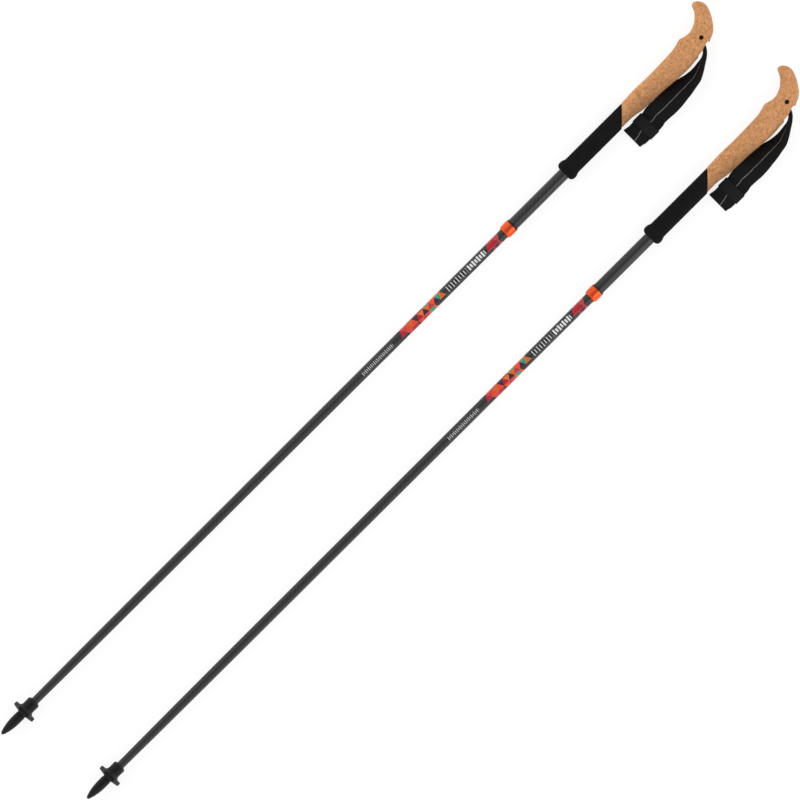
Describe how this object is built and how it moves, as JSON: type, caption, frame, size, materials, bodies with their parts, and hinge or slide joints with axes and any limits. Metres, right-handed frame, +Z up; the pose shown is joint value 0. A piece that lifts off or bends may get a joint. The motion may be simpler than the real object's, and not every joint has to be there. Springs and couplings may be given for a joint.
{
  "type": "trekking poles",
  "caption": "Telescoping carbon trekking poles with hooked cork grips, foam lower grips, webbing wrist straps, a twist lock, small baskets and hard tips, laid side by side.",
  "frame": {"origin": "middle of the pair on the surface that both poles lie on", "axes": "+X along the poles from tip to grip, +Y from the strap side to the hook side of the grips, +Z up from the surface"},
  "size_m": [1.3378, 0.2258, 0.029],
  "materials": {
    "carbon_lower": "satin clear-coated carbon tube with printed triangle bands",
    "carbon_upper": "satin clear-coated carbon tube",
    "orange_collar": "polished orange moulding",
    "eva_foam": "matte fine-celled foam",
    "cork": "moulded granulated cork",
    "black_plastic": "moulded",
    "pin_plastic": "moulded",
    "tip_plastic": "satin moulded",
    "webbing": "woven webbing with a grey woven centre line",
    "keeper_webbing": "woven binding",
    "lock_steel": "zinc plated",
    "carbide": "dark sintered"
  },
  "bodies": {
    "a_grip": {"a_upper_tube": "carbon_upper", "a_end_collar": "orange_collar", "a_guide_bush": "black_plastic", "a_foam_sleeve": "eva_foam", "a_cork_grip": "cork", "a_grip_core": "black_plastic", "a_top_plug": "black_plastic", "a_strap_pin": "pin_plastic"},
    "a_strap": {"a_wrist_strap": "webbing"},
    "a_keeper": {"a_strap_keeper": "keeper_webbing"},
    "a_expander": {"a_expander_sleeve": "black_plastic"},
    "a_cone": {"a_cone_nut": "black_plastic"},
    "a_lower": {"a_lower_tube": "carbon_lower", "a_lock_stud": "lock_steel", "a_stop_ring": "lock_steel", "a_tip_ferrule": "tip_plastic", "a_carbide_tip": "carbide"},
    "a_basket": {"a_basket": "tip_plastic"},
    "b_grip": {"b_upper_tube": "carbon_upper", "b_end_collar": "orange_collar", "b_guide_bush": "black_plastic", "b_foam_sleeve": "eva_foam", "b_cork_grip": "cork", "b_grip_core": "black_plastic", "b_top_plug": "black_plastic", "b_strap_pin": "pin_plastic"},
    "b_strap": {"b_wrist_strap": "webbing"},
    "b_keeper": {"b_strap_keeper": "keeper_webbing"},
    "b_expander": {"b_expander_sleeve": "black_plastic"},
    "b_cone": {"b_cone_nut": "black_plastic"},
    "b_lower": {"b_lower_tube": "carbon_lower", "b_lock_stud": "lock_steel", "b_stop_ring": "lock_steel", "b_tip_ferrule": "tip_plastic", "b_carbide_tip": "carbide"},
    "b_basket": {"b_basket": "tip_plastic"}
  },
  "joints": [
    {"name": "a_telescope", "type": "slide", "parent": "a_grip", "child": "a_expander", "axis": [1, 0, 0], "range_m": [0, 0.2]},
    {"name": "a_twist_lock", "type": "hinge", "parent": "a_expander", "child": "a_lower", "pos_m": [0.3311, 0.0736, 0.0145], "axis": [1, 0, 0], "range_deg": [0, 180]},
    {"name": "a_cone_travel", "type": "slide", "parent": "a_expander", "child": "a_cone", "axis": [1, 0, 0], "range_m": [0, 0.0016]},
    {"name": "a_basket_turn", "type": "hinge", "parent": "a_lower", "child": "a_basket", "pos_m": [-0.6209, 0.0736, 0.0145], "axis": [1, 0, 0], "range_deg": [0, 90]},
    {"name": "a_strap_swing", "type": "hinge", "parent": "a_grip", "child": "a_strap", "pos_m": [0.6138, 0.0728, 0.0145], "axis": [0, 0, 1], "range_deg": [0, 20]},
    {"name": "a_keeper_slide", "type": "slide", "parent": "a_strap", "child": "a_keeper", "axis": [1, 0, 0], "range_m": [-0.008, 0.002]},
    {"name": "b_lift", "type": "slide", "parent": "a_grip", "child": "b_grip", "axis": [0, 0, 1], "range_m": [0, 0.25]},
    {"name": "b_telescope", "type": "slide", "parent": "b_grip", "child": "b_expander", "axis": [1, 0, 0], "range_m": [0, 0.2]},
    {"name": "b_twist_lock", "type": "hinge", "parent": "b_expander", "child": "b_lower", "pos_m": [0.3509, -0.0642, 0.0145], "axis": [1, 0, 0], "range_deg": [0, 180]},
    {"name": "b_cone_travel", "type": "slide", "parent": "b_expander", "child": "b_cone", "axis": [1, 0, 0], "range_m": [0, 0.0016]},
    {"name": "b_basket_turn", "type": "hinge", "parent": "b_lower", "child": "b_basket", "pos_m": [-0.6011, -0.0642, 0.0145], "axis": [1, 0, 0], "range_deg": [0, 90]},
    {"name": "b_strap_swing", "type": "hinge", "parent": "b_grip", "child": "b_strap", "pos_m": [0.6336, -0.065, 0.0145], "axis": [0, 0, 1], "range_deg": [0, 20]},
    {"name": "b_keeper_slide", "type": "slide", "parent": "b_strap", "child": "b_keeper", "axis": [1, 0, 0], "range_m": [-0.008, 0.002]}
  ],
  "couplings": [
    {"joint": "a_cone_travel", "follows": "a_twist_lock", "m_per_rad": 0.0005},
    {"joint": "b_cone_travel", "follows": "b_twist_lock", "m_per_rad": 0.0005}
  ]
}
